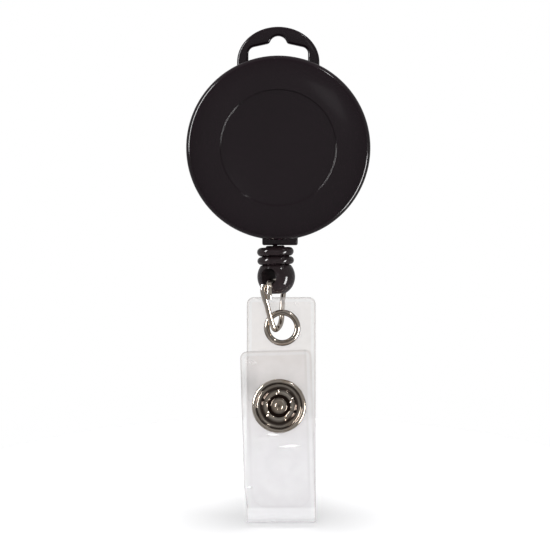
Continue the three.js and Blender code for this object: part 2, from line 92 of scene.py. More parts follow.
# %% [markdown]
# ## Camera
# A small product is best seen from far away through a long lens, so that round things stay round.
# The camera looks level along +Y. Its view is a square a little taller than the object, so the
# lens follows from the distance and the width of the field.

# %% Camera
FIELD = 95.3 * MM
DISTANCE = 900 * MM
VIEW_X = -0.57 * MM
VIEW_Z = -22.1 * MM

camera_data = bpy.data.cameras.new("camera")
camera_data.sensor_width = 36
camera_data.lens = camera_data.sensor_width * DISTANCE / FIELD
camera = bpy.data.objects.new("camera", camera_data)
camera.location = (VIEW_X, low("front_cover").y - DISTANCE, VIEW_Z)
camera.rotation_euler = (math.radians(90), 0, 0)
bpy.context.scene.collection.objects.link(camera)
bpy.context.scene.camera = camera
print("lens", round(camera_data.lens), "mm")

# %% [markdown]
# ## Shader sums
# Materials are made of nodes, and their arithmetic is easier to read as Python. `Value` wraps a
# socket, so that `1 - mask` adds a Math node. `Finish` holds one material, and its `node` method
# makes any other node from its type, its settings and what its sockets get. A ramp reads numbers
# from 0 to 1, so a distance of several millimetres goes into it as centimetres.

# %% Sockets as numbers
class Value:
    """A node's output that can be used in sums."""

    def __init__(self, finish, socket):
        self.finish = finish
        self.socket = socket

    def _sum(self, operation, first, second):
        return self.finish.node("Math", {"operation": operation}, {0: first, 1: second})

    def __add__(self, other):
        return self._sum("ADD", self, other)

    def __sub__(self, other):
        return self._sum("SUBTRACT", self, other)

    def __rsub__(self, other):
        return self._sum("SUBTRACT", other, self)

    def __mul__(self, other):
        return self._sum("MULTIPLY", self, other)

    __radd__ = __add__
    __rmul__ = __mul__


print("sums on", Value.__name__)


# %% Materials
class Finish:
    """One material and the nodes that make it."""

    def __init__(self, name, **constants):
        self.material = bpy.data.materials.new(name)
        self.material.use_nodes = True
        self.tree = self.material.node_tree
        self.shader = self.tree.nodes["Principled BSDF"]
        for socket, value in constants.items():
            self.set(socket.replace("_", " "), value)

    def node(self, kind, settings=None, inputs=None, output=0):
        made = self.tree.nodes.new("ShaderNode" + kind)
        for key, value in (settings or {}).items():
            if key == "stops":
                while len(made.color_ramp.elements) < len(value):
                    made.color_ramp.elements.new(1)
                for stop, (place, shade) in zip(made.color_ramp.elements, value):
                    stop.position = place
                    stop.color = (shade, shade, shade, 1)
            else:
                setattr(made, key, value)
        for key, value in (inputs or {}).items():
            self._plug(made.inputs[key], value)
        return Value(self, made.outputs[output])

    def _plug(self, socket, value):
        if isinstance(value, Value):
            self.tree.links.new(value.socket, socket)
        else:
            socket.default_value = value

    def set(self, socket, value):
        self._plug(self.shader.inputs[socket], value)

    def place(self):
        return self.node("TexCoord", output="Object")

    def noise(self, scale, detail=3, place=None):
        inputs = {"Vector": place or self.place(), "Scale": scale, "Detail": detail}
        return self.node("TexNoise", None, inputs)

    def distance(self, centre, scale=(1, 1, 1)):
        """Millimetres from a point of the object, with an axis left out where its scale is 0."""
        shift = [-c * s / MM for c, s in zip(centre, scale)]
        size = [s / MM for s in scale]
        moved = self.node("Mapping", None, {"Vector": self.place(), "Location": shift, "Scale": size})
        return self.node("VectorMath", {"operation": "LENGTH"}, {0: moved}, output="Value")

    def steps(self, value, *stops):
        """A smooth curve through (value, shade) stops."""
        return self.node("ValToRGB", {"stops": stops}, {"Fac": value})

    def ramp(self, value, dark, light):
        """0 below dark, 1 above light, and a straight slope between them."""
        return self.node("ValToRGB", {"stops": [(dark, 0), (light, 1)]}, {"Fac": value})

    def blend_colours(self, mask, first, second):
        inputs = {"Factor": mask, 6: first, 7: second}
        return self.node("Mix", {"data_type": "RGBA"}, inputs, output=2)

    def bump(self, height, strength, distance):
        inputs = {"Height": height, "Strength": strength, "Distance": distance}
        self.set("Normal", self.node("Bump", None, inputs))


print("materials by", Finish.__name__)

# %% [markdown]
# ## Glossy moulded plastic
# The case and the cord fitting are injection moulded in a nearly black plastic and polished by
# their mould. What shows is the reflection, so the colour is almost nothing, and the detail is in
# the gloss: a faint unevenness of the surface, a slow drift of roughness, and fine rubbed marks.
# The mould can't polish the cross hole in the ball, so inside it the plastic is dull.

# %% Black plastic
def black_plastic(name, gloss, rub, darkest, lightest, hollow=None):
    finish = Finish(name, Specular_IOR_Level=0.5, Coat_Roughness=0.06)
    drift = finish.noise(90, 2)
    stretched = finish.node("Mapping", None, {"Vector": finish.place(), "Scale": (500, 500, 3500)})
    marks_and_painted_highlights = finish.ramp(finish.noise(1, 2, stretched), 0.56, 0.75)
    roughness = drift * 0.06 + marks_and_painted_highlights * rub + gloss
    coat = 0.25
    if hollow:
        centre, radius = hollow
        inside = 1 - finish.ramp(finish.distance(centre) * 0.1, radius / 10 - 0.03, radius / 10)
        roughness = roughness + inside * 0.7
        coat = (1 - inside) * coat
    finish.set("Roughness", roughness)
    finish.set("Coat Weight", coat)
    finish.set("Base Color", finish.blend_colours(drift, darkest, lightest))
    finish.bump(finish.noise(260, 1), 0.08, 0.02 * MM)
    return finish.material


case_plastic = black_plastic(
    "case_plastic", 0.13, 0.05, (0.008, 0.003, 0.0055, 1), (0.011, 0.0045, 0.008, 1),
)
INSIDE_BALL = 3.15
ball_hole = (joints["link_swing"]["pos_m"], INSIDE_BALL)
fitting_plastic = black_plastic(
    "fitting_plastic", 0.08, 0.03, (0.024, 0.015, 0.017, 1), (0.034, 0.022, 0.025, 1), ball_hole,
)
print("plastics", case_plastic.name, fitting_plastic.name)

# %% [markdown]
# ## Nickel and spring steel
# The link, the eyelet and the snap are nickel plated: a warm, bright metal with slightly duller
# patches. On the eyelet and the snap a painted shade, a dark brown that follows the distance from
# the axis, darkens the grooves, the well and the edges of each turned piece. The clip and the
# springs are bare steel with fine marks along the rolling direction.

# %% Metals
def nickel_plate(name, roughness, bright, dark, axis=None, stops=()):
    finish = Finish(name, Metallic=1.0)
    patches = finish.noise(450, 4)
    dull = finish.ramp(patches, 0.45, 0.7)
    finish.set("Roughness", dull * 0.12 + roughness)
    colour = finish.blend_colours(dull, bright, dark)
    if axis:
        # Painted shade: the distance from the axis darkens the grooves, the well and the edges towards dark
        # brown.
        radius = finish.distance(axis, (1, 0, 1)) * 0.1 + (patches - 0.5) * 0.04
        groove_shade = finish.steps(radius, *[(r / 10, shade) for r, shade in stops])
        colour = finish.blend_colours(groove_shade, (0.05, 0.028, 0.02, 1), colour)
    finish.set("Base Color", colour)
    finish.bump(finish.noise(900, 2), 0.03, 0.02 * MM)
    return finish.material


def rolled_steel(name):
    finish = Finish(name, Metallic=1.0)
    along = finish.node("Mapping", None, {"Vector": finish.place(), "Scale": (9000, 300, 300)})
    grain = finish.noise(1, 3, along)
    finish.set("Roughness", grain * 0.25 + 0.18)
    finish.set("Base Color", finish.blend_colours(grain, (0.42, 0.42, 0.42, 1), (0.58, 0.58, 0.57, 1)))
    finish.bump(grain, 0.10, 0.02 * MM)
    return finish.material


BRIGHT_NICKEL, DULL_NICKEL = (0.98, 0.88, 0.77, 1), (0.80, 0.66, 0.53, 1)
# Painted shade by radius in millimetres: 0 gives the dark brown of grooves, well and edges, 1 the plating.
EYELET_PAINTED_SHADE = [
    (2.1, 0.05), (2.25, 0.5), (2.42, 1), (2.6, 0.2), (2.72, 1), (2.98, 1), (3.1, 0.1),
]
SNAP_PAINTED_SHADE = [
    (0.1, 0.25), (0.5, 0.8), (1.05, 0.75), (1.42, 0.3), (1.56, 0), (1.92, 0), (2.1, 0.75), (2.55, 0.7),
    (2.85, 0.1), (3.25, 0.08), (3.5, 0.6), (3.8, 0.5), (3.98, 0.05), (4.2, 0.9), (4.5, 1), (4.68, 0.3),
]
nickel = nickel_plate("nickel", 0.10, BRIGHT_NICKEL, DULL_NICKEL)
eyelet_nickel = nickel_plate(
    "eyelet_nickel", 0.12, BRIGHT_NICKEL, DULL_NICKEL, list(middle("eyelet")), EYELET_PAINTED_SHADE,
)
snap_nickel = nickel_plate(
    "snap_nickel", 0.14, BRIGHT_NICKEL, DULL_NICKEL, list(middle("snap_cap")), SNAP_PAINTED_SHADE,
)
steel = rolled_steel("spring_steel")
print("metals", nickel.name, eyelet_nickel.name, snap_nickel.name, steel.name)

# %% [markdown]
# ## Cord and spool plastic
# The cord is a thin black braid. Two sets of strands cross over each other, which two waves across
# its UV map show: U runs round the cord and V along it. The spool is plain white plastic.

# %% Braid and inner plastic
STRANDS = 6
STRAND_TURNS_PER_MM = 0.9


def braid(name):
    finish = Finish(name)
    uv = finish.node("UVMap")
    around = finish.node("SeparateXYZ", None, {"Vector": uv}, output="X") * (STRANDS * 2 * math.pi)
    along = finish.node("SeparateXYZ", None, {"Vector": uv}, output="Y")
    strands = []
    for way in (1, -1):
        phase = around + along * (way * STRAND_TURNS_PER_MM * 2 * math.pi / MM)
        strands.append(finish.node("Math", {"operation": "SINE"}, {0: phase}))
    over = finish.node("Math", {"operation": "MAXIMUM"}, {0: strands[0], 1: strands[1]})
    height = over * 0.5 + 0.5
    finish.set("Roughness", height * -0.15 + 0.8)
    finish.set("Base Color", finish.blend_colours(height, (0.004, 0.004, 0.004, 1), (0.03, 0.03, 0.032, 1)))
    finish.bump(height, 0.5, 0.05 * MM)
    return finish.material


def plain_plastic(name):
    finish = Finish(name, IOR=1.5)
    cloud = finish.noise(300, 3)
    finish.set("Base Color", finish.blend_colours(cloud, (0.62, 0.61, 0.57, 1), (0.70, 0.69, 0.65, 1)))
    finish.set("Roughness", cloud * 0.15 + 0.35)
    finish.bump(cloud, 0.1, 0.03 * MM)
    return finish.material


braided_cord = braid("braided_cord")
inner_plastic = plain_plastic("inner_plastic")
print("inside", braided_cord.name, inner_plastic.name)

# %% [markdown]
# ## Frosty clear vinyl
# The strap is soft clear vinyl with a fine frost. Most light goes straight through it, and a part
# is scattered, so it is a pale shader with a low alpha. The alpha rises where the frost is thicker,
# along the cut edges, and in a band along the fold, where a painted highlight lightens the strip.
# Painted highlights also mark a few streaks and a glint on the front leaf, and a faint painted glow
# lies over the whole strip. Its UV map is the flat strip: U across it and V along it, so the marks
# and the painted highlights are placed on that. The strip's length comes first, from the leaves of
# the mechanical model and the half circle between them.

# %% Length of the strap
FLAP_TRIM = 0.15 * MM
fold = Vector(joints["snap_open"]["pos_m"])
back_box = (low("strap_back_leaf"), high("strap_back_leaf"))
front_box = (low("strap_front_leaf"), high("strap_front_leaf"))
back_y = (back_box[0].y + back_box[1].y) / 2
front_y = (front_box[0].y + front_box[1].y) / 2
back_width = back_box[1].x - back_box[0].x
fold_radius = (back_y - front_y) / 2
back_length = back_box[1].z - fold.z
fold_length = math.pi * fold_radius
front_length = front_box[1].z - fold.z - FLAP_TRIM
strap_length = back_length + fold_length + front_length
print("strap", round(strap_length / MM, 1), "mm long and", round(back_width / MM, 1), "mm wide")


# %% Places on the strap
STRAP_CORNER = 1.2


def front_spot(x, z):
    """The place on the strap's UV map of a point on its front leaf, given in millimetres."""
    return (x * MM, back_length + fold_length + z * MM - fold.z, 0)


def patch(finish, uv, centre, half_width, half_height, lean=0, soft=0.5):
    """1 in the middle of an ellipse on the UV map, 0 outside it."""
    settings = {"vector_type": "TEXTURE"}
    size = (half_width * MM, half_height * MM, 1)
    turn = (0, 0, math.radians(lean))
    inputs = {"Vector": uv, "Location": centre, "Rotation": turn, "Scale": size}
    inside = finish.node("Mapping", settings, inputs)
    away = finish.node("VectorMath", {"operation": "LENGTH"}, {0: inside}, output="Value")
    return 1 - finish.ramp(away, soft, 1)


def inset(finish, uv, centre, half_width, half_height, corner):
    """How far a point of the UV map lies inside a rounded rectangle, in millimetres."""
    shift = [-c / MM for c in centre]
    moved = finish.node("Mapping", None, {"Vector": uv, "Location": shift, "Scale": (1 / MM, 1 / MM, 0)})
    folded = finish.node("VectorMath", {"operation": "ABSOLUTE"}, {0: moved})
    core = (half_width - corner, half_height - corner, 0)
    past = finish.node("VectorMath", {"operation": "SUBTRACT"}, {0: folded, 1: core})
    outer = finish.node("VectorMath", {"operation": "MAXIMUM"}, {0: past, 1: (0, 0, 0)})
    outside = finish.node("VectorMath", {"operation": "LENGTH"}, {0: outer}, output="Value")
    across = finish.node("SeparateXYZ", None, {"Vector": past}, output="X")
    along = finish.node("SeparateXYZ", None, {"Vector": past}, output="Y")
    nearest = finish.node("Math", {"operation": "MAXIMUM"}, {0: across, 1: along})
    inside = finish.node("Math", {"operation": "MINIMUM"}, {0: nearest, 1: 0})
    return corner - outside - inside


print("top of the flap on the map", round(front_spot(0, front_box[1].z / MM)[1] / MM, 1), "mm")


# %% Vinyl
def clear_vinyl(name):
    finish = Finish(name, IOR=1.45)
    uv = finish.node("UVMap")
    cloud = finish.noise(170, 2, uv)
    frost = finish.ramp(cloud, 0.15, 0.9)
    smudge = patch(finish, uv, front_spot(-4.4, -40.9), 3.0, 4.2, 20, 0.0)
    # Painted highlights: a streak, a short bright line under the snap and a small glint on the front leaf.
    painted_highlight_streak = patch(finish, uv, front_spot(1.85, -51.9), 2.0, 0.2, 2)
    painted_crease_highlight = patch(finish, uv, front_spot(-0.95, -49.8), 1.2, 0.2, -4)
    painted_glint = patch(finish, uv, front_spot(-5.15, -58.8), 0.35, 0.18, 0)
    marks_and_painted_highlights = finish.node("Math", {"operation": "MAXIMUM"}, {0: painted_highlight_streak, 1: painted_crease_highlight})
    marks_and_painted_highlights = finish.node("Math", {"operation": "MAXIMUM"}, {0: marks_and_painted_highlights, 1: painted_glint})
    half_width, half_length = back_width / 2 / MM, strap_length / 2 / MM
    depth = inset(finish, uv, (0, strap_length / 2, 0), half_width, half_length, STRAP_CORNER)
    cut_edge = 1 - finish.ramp(depth, 0.12, 0.26)
    inner_edge = finish.ramp(depth, 0.26, 0.4) * (1 - finish.ramp(depth, 0.7, 0.95))
    # Painted highlight: a lighter band along the fold, where the bent vinyl would catch the light.
    painted_fold_highlight = finish.ramp(inset(finish, uv, front_spot(0, -63.9), 6.5, 1.5, 0.3), 0, 0.4)
    flat = inset(finish, uv, front_spot(0.1, -44.6), 5.1, 18, 2.2)
    contour = finish.ramp(flat, 0, 0.15) * (1 - finish.ramp(flat, 0.3, 0.6)) * frost
    # The lighter part: a band inside the cut edges and the painted highlight along the fold.
    light_part = inner_edge * 0.7 + painted_fold_highlight * 0.8
    dark_part = cut_edge * 0.6 + contour * 0.5 + smudge * 0.7
    # Decimetres below the axis of the reel, which a ramp can read.
    depth_below = finish.node("SeparateXYZ", None, {"Vector": finish.place()}, output="Z") * -10
    lower = finish.ramp(depth_below, 0.34, 0.52)
    warm = finish.blend_colours(frost, (0.90, 0.83, 0.79, 1), (0.97, 0.91, 0.88, 1))
    cool = finish.blend_colours(frost, (0.93, 0.91, 0.93, 1), (0.99, 0.97, 0.99, 1))
    tint = finish.blend_colours(lower, warm, cool)
    tint = finish.blend_colours(light_part, tint, (1, 1, 1, 1))
    tint = finish.blend_colours(dark_part, tint, (0.45, 0.43, 0.42, 1))
    # The painted highlights turn the colour white, raise the alpha and add a grey emission.
    finish.set("Base Color", finish.blend_colours(marks_and_painted_highlights, tint, (1, 1, 1, 1)))
    finish.set("Roughness", frost * 0.10 + 0.34)
    haze = frost * 0.10 + smudge * 0.10 + cut_edge * 0.12 + contour * 0.04 + painted_fold_highlight * 0.05
    finish.set("Alpha", haze + marks_and_painted_highlights * 0.5 + 0.25)
    # Painted glow: a faint emission over the strip, stronger along the fold and at the painted highlights.
    painted_glow = finish.blend_colours(painted_fold_highlight, (0.02, 0.02, 0.02, 1), (0.14, 0.14, 0.15, 1))
    finish.set("Emission Color", finish.blend_colours(marks_and_painted_highlights, painted_glow, (0.5, 0.5, 0.5, 1)))
    finish.set("Emission Strength", 1.0)
    finish.bump(cloud, 0.05, 0.05 * MM)
    return finish.material


vinyl = clear_vinyl("clear_vinyl")
print("strap", vinyl.name)

# %% [markdown]
# ## Making pieces
# Most of the pieces are round, and the simplest way to a round piece is to spin its half section
# about its axis. A section has few corners; each carries the radius that it is rounded to, and a
# bevel on the edge loop that the corner became gives the round. `finished` turns a bmesh into an
# object, smooth but for its sharp edges. What a lathe can't make is cut or joined by booleans.

# %% Helpers for meshes
SHARP = math.radians(38)


def towards(axis, start=(0, 1, 0)):
    """The turn that takes one axis to another."""
    return Vector(start).rotation_difference(axis).to_matrix().to_4x4()


def finished(name, mesh, material, body, replaces=(), place=None):
    """Links the bmesh as an object that rides on a body and stands for CAD nodes."""
    if place is not None:
        bmesh.ops.transform(mesh, matrix=place, verts=mesh.verts)
    for face in mesh.faces:
        face.smooth = True
    for edge in mesh.edges:
        if len(edge.link_faces) == 2 and edge.calc_face_angle(0) > SHARP:
            edge.smooth = False
    data = bpy.data.meshes.new(name)
    mesh.to_mesh(data)
    mesh.free()
    data.materials.append(material)
    piece = bpy.data.objects.new(name, data)
    bpy.context.scene.collection.objects.link(piece)
    if body:
        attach(piece, body)
    if replaces:
        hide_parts(*replaces)
    print(name, len(data.polygons), "faces")
    return piece


def clean(mesh):
    bmesh.ops.remove_doubles(mesh, verts=mesh.verts, dist=0.0005 * MM)
    bmesh.ops.recalc_face_normals(mesh, faces=mesh.faces)
    return mesh


def round_edges(mesh, edges, radius, segments=4):
    bmesh.ops.bevel(
        mesh, geom=edges, offset=radius, offset_type="OFFSET", affect="EDGES",
        segments=segments, profile=0.5, material=-1, clamp_overlap=True,
    )


def turned(section, steps=96, closed=False):
    """Spins [(radius, depth, rounding)] corners, in millimetres, about the Y axis."""
    mesh = bmesh.new()
    points = [mesh.verts.new((radius * MM, depth * MM, 0)) for radius, depth, _ in section]
    pairs = list(zip(points, points[1:])) + ([(points[-1], points[0])] if closed else [])
    lines = [mesh.edges.new(pair) for pair in pairs]
    bmesh.ops.spin(
        mesh, geom=points + lines, cent=(0, 0, 0), axis=(0, 1, 0),
        angle=2 * math.pi, steps=steps, use_merge=True,
    )
    clean(mesh)
    for radius, depth, rounding in section:
        if rounding and radius:
            loop = [edge for edge in mesh.edges if on_ring(edge, radius * MM, depth * MM)]
            round_edges(mesh, loop, rounding * MM)
    return clean(mesh)


def on_ring(edge, radius, depth):
    near = 0.001 * MM
    for vertex in edge.verts:
        away = math.hypot(vertex.co.x, vertex.co.z)
        if abs(away - radius) > near or abs(vertex.co.y - depth) > near:
            return False
    return True


print("edges sharper than", round(math.degrees(SHARP)), "degrees stay sharp")


# %% Helpers for cutting and joining
def joined(first, *others, operation="UNION"):
    """Applies a boolean of each other object to the first, and removes the others."""
    for other in others:
        cut = first.modifiers.new("join", "BOOLEAN")
        cut.operation = operation
        cut.solver = "EXACT"
        cut.object = other
    bpy.context.view_layer.update()
    graph = bpy.context.evaluated_depsgraph_get()
    data = bpy.data.meshes.new_from_object(first.evaluated_get(graph))
    first.modifiers.clear()
    first.data = data
    for other in others:
        bpy.data.objects.remove(other)
    return first


def loose(mesh, name="tool"):
    """A bmesh as an object that only serves to cut or join another."""
    data = bpy.data.meshes.new(name)
    mesh.to_mesh(data)
    mesh.free()
    tool = bpy.data.objects.new(name, data)
    bpy.context.scene.collection.objects.link(tool)
    return tool


def as_bmesh(piece):
    """Takes an object's mesh back into a bmesh and removes the object."""
    mesh = bmesh.new()
    mesh.from_mesh(piece.data)
    bpy.data.objects.remove(piece)
    return clean(mesh)


def drill(radius, place, length=20 * MM, segments=48):
    """A round cutter along the Y axis of the matrix `place`."""
    mesh = bmesh.new()
    upright = Matrix.Rotation(math.radians(90), 4, "X")
    bmesh.ops.create_cone(
        mesh, cap_ends=True, segments=segments, radius1=radius, radius2=radius, depth=length,
        matrix=place @ upright,
    )
    return loose(mesh)


print("cutters by", drill.__name__)

# %% [markdown]
# ## Front cover
# The front half of the case is a shallow cup. Its face slopes very gently from the edge of a round
# recess, which takes a label, out to a rounded rim, and its back edge has a thin skirt that sits
# inside the rear half. One spin makes it.

# %% Front cover
cover_low, cover_high = low("front_cover"), high("front_cover")
front = cover_low.y / MM
case_radius = cover_high.x / MM
split = -6.1
label_radius = 10
label_floor = front + 0.4
rim_front = front + 0.75
skirt_radius = 14.3
cover_bore = 13.9
face_thickness = 1
skirt_end = split + 0.9
cover_section = [
    (0, label_floor, 0),
    (label_radius, label_floor, 0.08),
    (label_radius + 0.08, front, 0.14),
    (case_radius, rim_front, 0.9),
    (case_radius, split, 0.12),
    (skirt_radius, split, 0),
    (skirt_radius, skirt_end, 0.08),
    (cover_bore, skirt_end, 0.08),
    (cover_bore, label_floor + face_thickness, 0),
    (0, label_floor + face_thickness, 0),
]
finished(
    "front_cover_shell", turned(cover_section, 160), case_plastic, "case",
    ["front_cover"],
)

# %% [markdown]
# ## Rear case
# The rear half is one moulding: a dish, the hanger above it and the neck below it where the cord
# comes out. The hanger is a flat arch drawn as one outline, thickened by an extrusion and softened
# by a bevel all round. The neck is a bevelled block. A boolean joins the three.

# %% Dish and post
rear_radius = case_radius - 0.2
dish_bore = 14.5
back = -0.7
inner_back = back - 1
dish_front = split + 0.1
post = 2.8
post_front = -8.1
bore = 1.35
dish_section = [
    (bore, back, 0),
    (rear_radius, back, 1.2),
    (rear_radius, dish_front, 0.1),
    (dish_bore, dish_front, 0),
    (dish_bore, inner_back, 0),
    (post, inner_back, 0),
    (post, post_front, 0.1),
    (bore, post_front, 0.1),
]
dish = loose(turned(dish_section, 160, closed=True), "dish")
print("dish", len(dish.data.polygons), "faces")

# %% Hanger
HANGER_HALF_WIDTH = 7.19
HANGER_FOOT = 13
HANGER_ARCH = 15.06
HANGER_RISE = 6.16
HANGER_BACK = -1.6
HANGER_DEPTH = 2.6
HANGER_ROUND = 0.5
SLOT_HALF_WIDTH = 5.2
SHOULDER = 1.2
NOTCH = 1.55


def arc(x, z, radius, start, end, steps=8):
    angles = [math.radians(start + (end - start) * step / steps) for step in range(steps + 1)]
    return [(x + radius * math.cos(a), z + radius * math.sin(a)) for a in angles]


def bent(start, control, end, share):
    """A point of the curve from start to end that a control point pulls aside."""
    weights = ((1 - share) ** 2, 2 * share * (1 - share), share ** 2)
    return tuple(sum(w * v for w, v in zip(weights, values)) for values in zip(start, control, end))


def hanger_outline():
    """The arch from its left foot over the top, and back along the slot with its middle notch."""
    feet = [(side * HANGER_HALF_WIDTH, HANGER_FOOT) for side in (-1, 1)]
    circle = arc(0, 0, 1, 180, 0, 40)
    outer = [(HANGER_HALF_WIDTH * x, HANGER_ARCH + HANGER_RISE * z) for x, z in circle]
    shoulder = arc(SLOT_HALF_WIDTH - SHOULDER, 16.55, SHOULDER, 0, 77.5, 8)
    notch = arc(0, 18.07, NOTCH, 20.7, 159.3, 16)
    lip = [bent((1.95, 18.23), (1.565, 18.315), notch[0], step / 4) for step in range(4)]
    half = [(SLOT_HALF_WIDTH, HANGER_FOOT)] + shoulder + lip
    left = [(-x, z) for x, z in reversed(half)]
    return [feet[0]] + outer + [feet[1]] + half + notch + left


def hanger():
    level = 1e-7
    mesh = bmesh.new()
    corners = [mesh.verts.new((x * MM, HANGER_BACK * MM, z * MM)) for x, z in hanger_outline()]
    face = mesh.faces.new(corners)
    grown = bmesh.ops.extrude_face_region(mesh, geom=[face])["geom"]
    moved = [item for item in grown if isinstance(item, bmesh.types.BMVert)]
    bmesh.ops.translate(mesh, vec=(0, -HANGER_DEPTH * MM, 0), verts=moved)
    clean(mesh)
    rims = [edge for edge in mesh.edges if abs(edge.verts[0].co.y - edge.verts[1].co.y) < level]
    round_edges(mesh, rims, HANGER_ROUND * MM, 5)
    return clean(mesh)


arch = loose(hanger(), "hanger")
print("hanger", len(arch.data.polygons), "faces")


# %% Neck
def neck():
    left, right = -2.8, 3.4
    bottom, top = -16.9, -14.9
    deep_back, deep_front = HANGER_BACK, -5.95
    mesh = bmesh.new()
    size = Vector((right - left, deep_back - deep_front, top - bottom)) * MM
    centre = Vector((right + left, deep_back + deep_front, top + bottom)) * (MM / 2)
    bmesh.ops.create_cube(mesh, size=1)
    bmesh.ops.scale(mesh, vec=size, verts=mesh.verts)
    bmesh.ops.translate(mesh, vec=centre, verts=mesh.verts)
    round_edges(mesh, list(mesh.edges), 0.3 * MM, 3)
    return clean(mesh)


block = loose(neck(), "neck")
print("neck", len(block.data.polygons), "faces")

# %% Rear case
EXIT_HOLE = 0.7 * MM
swivel = joints["end_swivel"]
exit_point = Vector(swivel["pos_m"])
whole = joined(dish, arch, block)
down = Matrix.Translation(exit_point + Vector((0, 0, 1.5 * MM))) @ towards((0, 0, 1))
joined(whole, drill(EXIT_HOLE, down, 6 * MM, 24), operation="DIFFERENCE")
finished(
    "rear_case_shell", as_bmesh(whole), case_plastic, "case", ["rear_case"],
)

# %% [markdown]
# ## Cord fitting
# The fitting that stops the cord is a nose, two fully rounded ribs and a ball with a flat under it,
# again one spin. It hangs a little to one side, along the axis of the swivel joint. A hole runs
# through the ball for the link, and its mouths are softened where the drill breaks the surface.

# %% Cord fitting
upward = Vector(swivel["axis"]).normalized()
swing = joints["link_swing"]
ball_centre = Vector(swing["pos_m"])
cross_axis = Vector(swing["axis"]).normalized()
hang = Matrix.Translation(exit_point) @ towards(upward)
RIB = 3.2
BALL = 3.3
BALL_FLAT = 2.99
GROOVE = 2.35
CROSS_HOLE = 1.5 * MM


def half_round(radius, centre, half, steps=10):
    return [(radius - half + x, centre + z, 0) for x, z in arc(0, 0, half, 90, -90, steps)]


ball_depth = -(ball_centre - exit_point).length / MM
ball_start = math.degrees(math.asin(1.95 / BALL))
ball_end = -math.degrees(math.asin(BALL_FLAT / BALL))
fitting_section = [(0.55, -2, 0), (0.55, -0.08, 0.08), (1.5, -0.08, 0.1), (1.7, -0.36, 0)]
fitting_section += half_round(RIB, -1.14, 0.78)
fitting_section += [(GROOVE, -1.96, 0)]
fitting_section += half_round(RIB, -2.69, 0.69)
fitting_section += [(GROOVE, -3.44, 0)]
fitting_section += [(x, ball_depth + z, 0) for x, z in arc(0, 0, BALL, ball_start, ball_end, 24)]
fitting_section += [(0, ball_depth - BALL_FLAT, 0), (0, -2, 0)]
fitting = loose(turned(fitting_section, 96, closed=True), "fitting")
fitting.data.transform(hang)
cross = Matrix.Translation(ball_centre) @ towards(cross_axis)
joined(fitting, drill(CROSS_HOLE, cross, 12 * MM), operation="DIFFERENCE")
fitting_mesh = as_bmesh(fitting)


def at_mouth(edge):
    """Whether an edge lies where the cross hole breaks the surface of the ball."""
    ends = [vertex.co - ball_centre for vertex in edge.verts]
    away = [(end - cross_axis * end.dot(cross_axis)).length for end in ends]
    on_hole = all(abs(radius - CROSS_HOLE) < 0.02 * MM for radius in away)
    outside = abs(ends[0].dot(cross_axis)) > CROSS_HOLE
    return on_hole and outside and edge.calc_face_angle(0) > SHARP


mouths = [edge for edge in fitting_mesh.edges if at_mouth(edge)]
round_edges(fitting_mesh, mouths, 0.25 * MM, 4)
finished(
    "cord_fitting", clean(fitting_mesh), fitting_plastic, "fitting", ["end_fitting"],
)

# %% [markdown]
# ## Wire link
# The link is one length of round nickel wire, bent by hand tools into a slanted loop whose two ends
# lie side by side on the front leg. A smooth curve with a round bevel gives the wire, and its cut
# ends are softened. The points lie in the plane of the cross hole: side, along the hole, and up.

# %% Wire link
LINK_ROUTE = [
    (0.7, -4.2, -3.9),
    (0.7, -4.3, -2.9),
    (0.6, -4.05, -1.7),
    (0.35, -3.3, -0.88),
    (0.2, -1.6, -0.8),
    (-0.2, 1.6, -0.8),
    (-0.35, 3.1, -0.88),
    (-0.45, 3.75, -1.8),
    (-0.47, 3.35, -3.3),
    (-0.42, 2.75, -4.9),
    (-0.3, 2.3, -6.6),
    (-0.1, 1.35, -8.1),
    (0, 0, -8.95),
    (0, -1.2, -9.15),
    (0, -2.05, -8.3),
    (-0.05, -3, -6.6),
    (-0.14, -3.75, -4.7),
    (-0.32, -4.25, -3.4),
    (-0.4, -4.5, -2.2),
    (-0.35, -4.32, -1.35),
]
WIRE = 0.47 * MM
LINK_TURN = math.radians(-27)


def wire(name, points, radius, place, steps=10, sides=6):
    curve = bpy.data.curves.new(name, "CURVE")
    curve.dimensions = "3D"
    curve.bevel_depth = radius
    curve.bevel_resolution = sides
    curve.use_fill_caps = True
    curve.resolution_u = steps
    spline = curve.splines.new("BEZIER")
    spline.bezier_points.add(len(points) - 1)
    for point, spot in zip(spline.bezier_points, points):
        point.co = place @ (Vector(spot) * MM)
        point.handle_left_type = point.handle_right_type = "AUTO"
    shape = bpy.data.objects.new(name, curve)
    bpy.context.scene.collection.objects.link(shape)
    bpy.context.view_layer.update()
    data = bpy.data.meshes.new_from_object(shape.evaluated_get(bpy.context.evaluated_depsgraph_get()))
    mesh = bmesh.new()
    mesh.from_mesh(data)
    bpy.data.objects.remove(shape)
    bpy.data.curves.remove(curve)
    bpy.data.meshes.remove(data)
    return clean(mesh)


lean = towards(upward, (0, 0, 1))
link_place = Matrix.Translation(ball_centre) @ lean @ Matrix.Rotation(LINK_TURN, 4, "Z")
link_mesh = wire("link", LINK_ROUTE, WIRE, link_place)
caps = [edge for face in link_mesh.faces if len(face.verts) > 4 for edge in face.edges]
round_edges(link_mesh, caps, 0.18 * MM, 3)
finished("link_wire", clean(link_mesh), nickel, "link", ["wire_link"])

# %% [markdown]
# ## Strap
# The strap is one strip of vinyl that goes down behind, folds under the badge and comes up in
# front. It is cut flat first: a rectangle whose corners are rounded by a vertex bevel, sliced into
# short lengths so that it can bend. Then each point is carried onto the folded path, and the sheet
# gets its thickness and its holes.

# %% Folded path
VINYL = 0.55 * MM
eyelet_spot = middle("eyelet")
snap_spot = middle("snap_cap")
front_width = 12.4 * MM
back_x = (back_box[0].x + back_box[1].x) / 2
FLAP_TURN = math.radians(1.75)
FLAP_SHIFT = 0.29 * MM
FLAP_BOW = 0.12 * MM
BACK_BOW = 0.10 * MM
BOW_START = 18 * MM


def smooth(value):
    value = min(max(value, 0), 1)
    return value * value * (3 - 2 * value)


